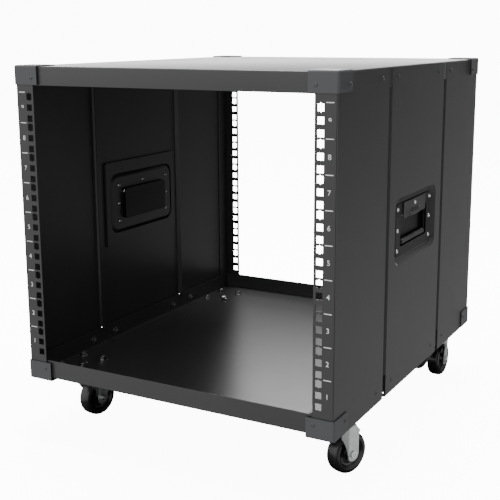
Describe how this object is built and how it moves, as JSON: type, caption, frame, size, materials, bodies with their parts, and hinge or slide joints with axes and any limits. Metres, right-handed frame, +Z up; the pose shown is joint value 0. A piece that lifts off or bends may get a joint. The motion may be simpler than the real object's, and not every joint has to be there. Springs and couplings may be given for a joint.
{
  "type": "portable equipment rack case",
  "caption": "Open-frame rolling equipment rack in folded black steel: square-holed rack rails front and rear, recessed side handles, swivel casters with brakes at the rear.",
  "frame": {"origin": "middle of the bounding box's base: the floor under the wheels, midway between sides and between front and rear", "axes": "+X to the case's right seen from the front, +Y to the rear, +Z up; the numbered front rails face -Y"},
  "size_m": [0.515, 0.6, 0.568],
  "materials": {
    "powder_coat": "black textured powder coat, satin",
    "handle_coat": "black paint, semi-gloss",
    "zinc": "zinc plated, pressed",
    "bright_steel": "bright rivet steel",
    "spring_steel": "oiled spring wire",
    "wheel_plastic": "moulded, glossy black",
    "grip_rubber": "smooth black rubber sleeve",
    "pedal_plastic": "moulded, matte black"
  },
  "bodies": {
    "case": {"base_tray": "powder_coat", "top_panel": "powder_coat", "rail_front_left": "powder_coat", "rail_front_right": "powder_coat", "rail_rear_left": "powder_coat", "rail_rear_right": "powder_coat", "side_panel_left_front": "powder_coat", "side_panel_left_middle": "powder_coat", "side_panel_left_rear": "powder_coat", "side_panel_right_front": "powder_coat", "side_panel_right_middle": "powder_coat", "side_panel_right_rear": "powder_coat", "corner_cap_top_front_left": "powder_coat", "corner_cap_top_front_right": "powder_coat", "corner_cap_top_rear_left": "powder_coat", "corner_cap_top_rear_right": "powder_coat", "corner_cap_bottom_front_left": "powder_coat", "corner_cap_bottom_front_right": "powder_coat", "corner_cap_bottom_rear_left": "powder_coat", "corner_cap_bottom_rear_right": "powder_coat", "handle_backing_left": "powder_coat", "handle_dish_left": "handle_coat", "handle_flap_left": "handle_coat", "handle_pin_left": "bright_steel", "handle_spring_left": "spring_steel", "handle_backing_right": "powder_coat", "handle_dish_right": "handle_coat", "handle_flap_right": "handle_coat", "handle_pin_right": "bright_steel", "handle_spring_right": "spring_steel", "caster_plate_front_left": "zinc", "caster_kingpin_front_left": "zinc", "caster_plate_front_right": "zinc", "caster_kingpin_front_right": "zinc", "caster_plate_rear_left": "zinc", "caster_kingpin_rear_left": "zinc", "caster_plate_rear_right": "zinc", "caster_kingpin_rear_right": "zinc"},
    "handle_left": {"handle_bail_left": "handle_coat", "handle_grip_left": "grip_rubber"},
    "handle_right": {"handle_bail_right": "handle_coat", "handle_grip_right": "grip_rubber"},
    "swivel_front_left": {"caster_fork_front_left": "zinc", "caster_axle_front_left": "bright_steel"},
    "wheel_front_left": {"caster_wheel_front_left": "wheel_plastic"},
    "swivel_front_right": {"caster_fork_front_right": "zinc", "caster_axle_front_right": "bright_steel"},
    "wheel_front_right": {"caster_wheel_front_right": "wheel_plastic"},
    "swivel_rear_left": {"caster_fork_rear_left": "zinc", "caster_axle_rear_left": "bright_steel"},
    "wheel_rear_left": {"caster_wheel_rear_left": "wheel_plastic"},
    "brake_rear_left": {"caster_brake_rear_left": "pedal_plastic"},
    "swivel_rear_right": {"caster_fork_rear_right": "zinc", "caster_axle_rear_right": "bright_steel"},
    "wheel_rear_right": {"caster_wheel_rear_right": "wheel_plastic"},
    "brake_rear_right": {"caster_brake_rear_right": "pedal_plastic"}
  },
  "joints": [
    {"name": "swivel_front_left", "type": "hinge", "parent": "case", "child": "swivel_front_left", "pos_m": [-0.2185, -0.22, 0.085], "axis": [0, 0, 1], "continuous": true},
    {"name": "wheel_front_left", "type": "hinge", "parent": "swivel_front_left", "child": "wheel_front_left", "pos_m": [-0.21407, -0.19205, 0.031], "axis": [0.9877, -0.1564, 0], "continuous": true},
    {"name": "swivel_front_right", "type": "hinge", "parent": "case", "child": "swivel_front_right", "pos_m": [0.2185, -0.22, 0.085], "axis": [0, 0, 1], "continuous": true},
    {"name": "wheel_front_right", "type": "hinge", "parent": "swivel_front_right", "child": "wheel_front_right", "pos_m": [0.2291, -0.19376, 0.031], "axis": [0.9272, -0.3746, 0], "continuous": true},
    {"name": "swivel_rear_left", "type": "hinge", "parent": "case", "child": "swivel_rear_left", "pos_m": [-0.2185, 0.22, 0.085], "axis": [0, 0, 1], "continuous": true},
    {"name": "wheel_rear_left", "type": "hinge", "parent": "swivel_rear_left", "child": "wheel_rear_left", "pos_m": [-0.21262, 0.24768, 0.031], "axis": [0.9781, -0.2079, 0], "continuous": true},
    {"name": "brake_rear_left", "type": "hinge", "parent": "swivel_rear_left", "child": "brake_rear_left", "pos_m": [-0.21808, 0.22196, 0.0645], "axis": [0.9781, -0.2079, 0], "range_deg": [0, 7]},
    {"name": "swivel_rear_right", "type": "hinge", "parent": "case", "child": "swivel_rear_right", "pos_m": [0.2185, 0.22, 0.085], "axis": [0, 0, 1], "continuous": true},
    {"name": "wheel_rear_right", "type": "hinge", "parent": "swivel_rear_right", "child": "wheel_rear_right", "pos_m": [0.21949, 0.24828, 0.031], "axis": [0.9994, -0.0349, 0], "continuous": true},
    {"name": "brake_rear_right", "type": "hinge", "parent": "swivel_rear_right", "child": "brake_rear_right", "pos_m": [0.21857, 0.222, 0.0645], "axis": [0.9994, -0.0349, 0], "range_deg": [0, 7]},
    {"name": "handle_left", "type": "hinge", "parent": "case", "child": "handle_left", "pos_m": [-0.2469, 0, 0.3475], "axis": [0, 1, 0], "range_deg": [0, 90], "stiffness_Nm_per_rad": 0.02, "springref_deg": -17.19},
    {"name": "handle_right", "type": "hinge", "parent": "case", "child": "handle_right", "pos_m": [0.2469, 0, 0.3475], "axis": [0, -1, 0], "range_deg": [0, 90], "stiffness_Nm_per_rad": 0.02, "springref_deg": -17.19}
  ]
}
